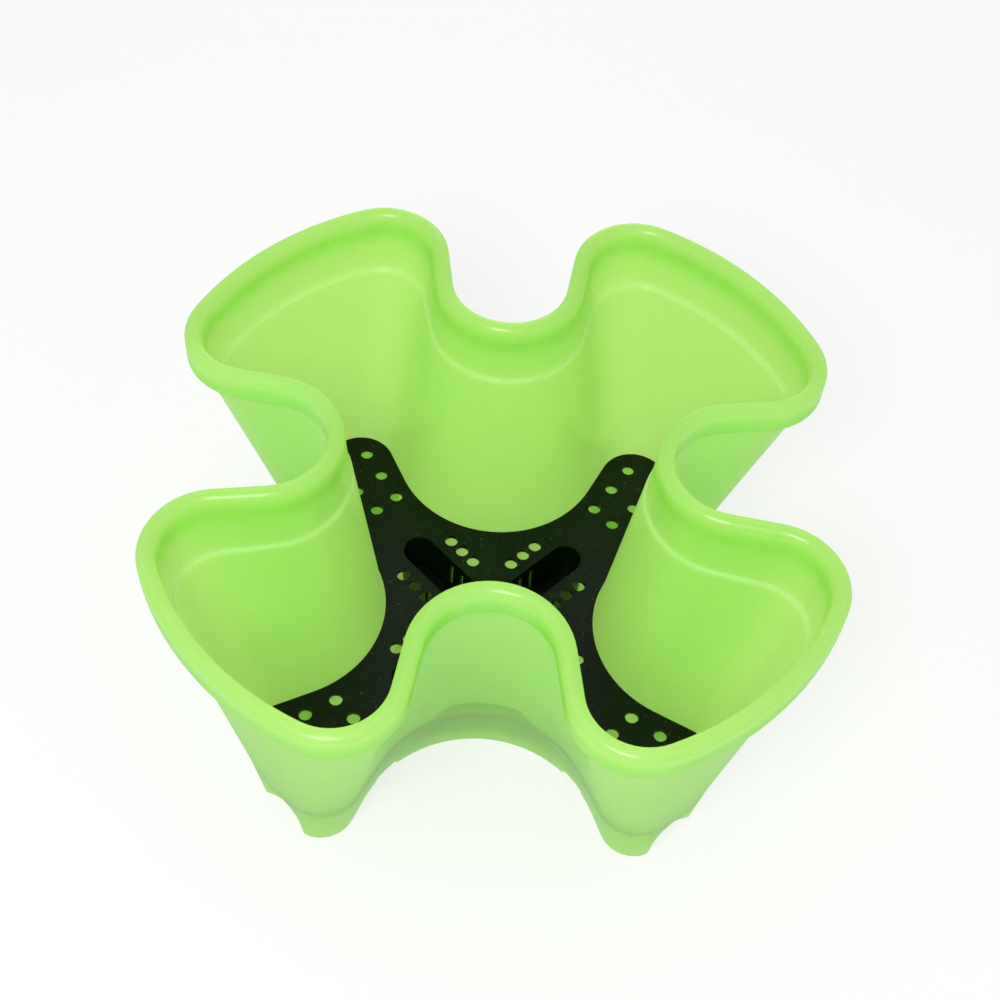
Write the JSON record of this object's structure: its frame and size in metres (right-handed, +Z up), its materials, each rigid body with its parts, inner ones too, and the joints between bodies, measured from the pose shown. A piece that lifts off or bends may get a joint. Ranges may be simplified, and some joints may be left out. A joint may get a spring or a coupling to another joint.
{
  "type": "stackable planter tower tier",
  "caption": "Four-lobed green plastic planter tier with a rolled rim, hollow feet and a lift-out black drainage grid",
  "frame": {"origin": "On the ground under the middle of the pot", "axes": "+Z up through the middle of the pot; the lobes point along the diagonals between X and Y; the picture looks along +Y from above"},
  "size_m": [0.3152, 0.3152, 0.1905],
  "materials": {
    "green_plastic": "satin moulded",
    "black_plastic": "matte moulded"
  },
  "bodies": {
    "pot": {"planter_pot": "green_plastic"},
    "grid": {"soil_grid": "black_plastic"}
  },
  "joints": [
    {"name": "grid_lift", "type": "slide", "parent": "pot", "child": "grid", "axis": [0, 0, 1], "range_m": [0, 0.19]}
  ]
}
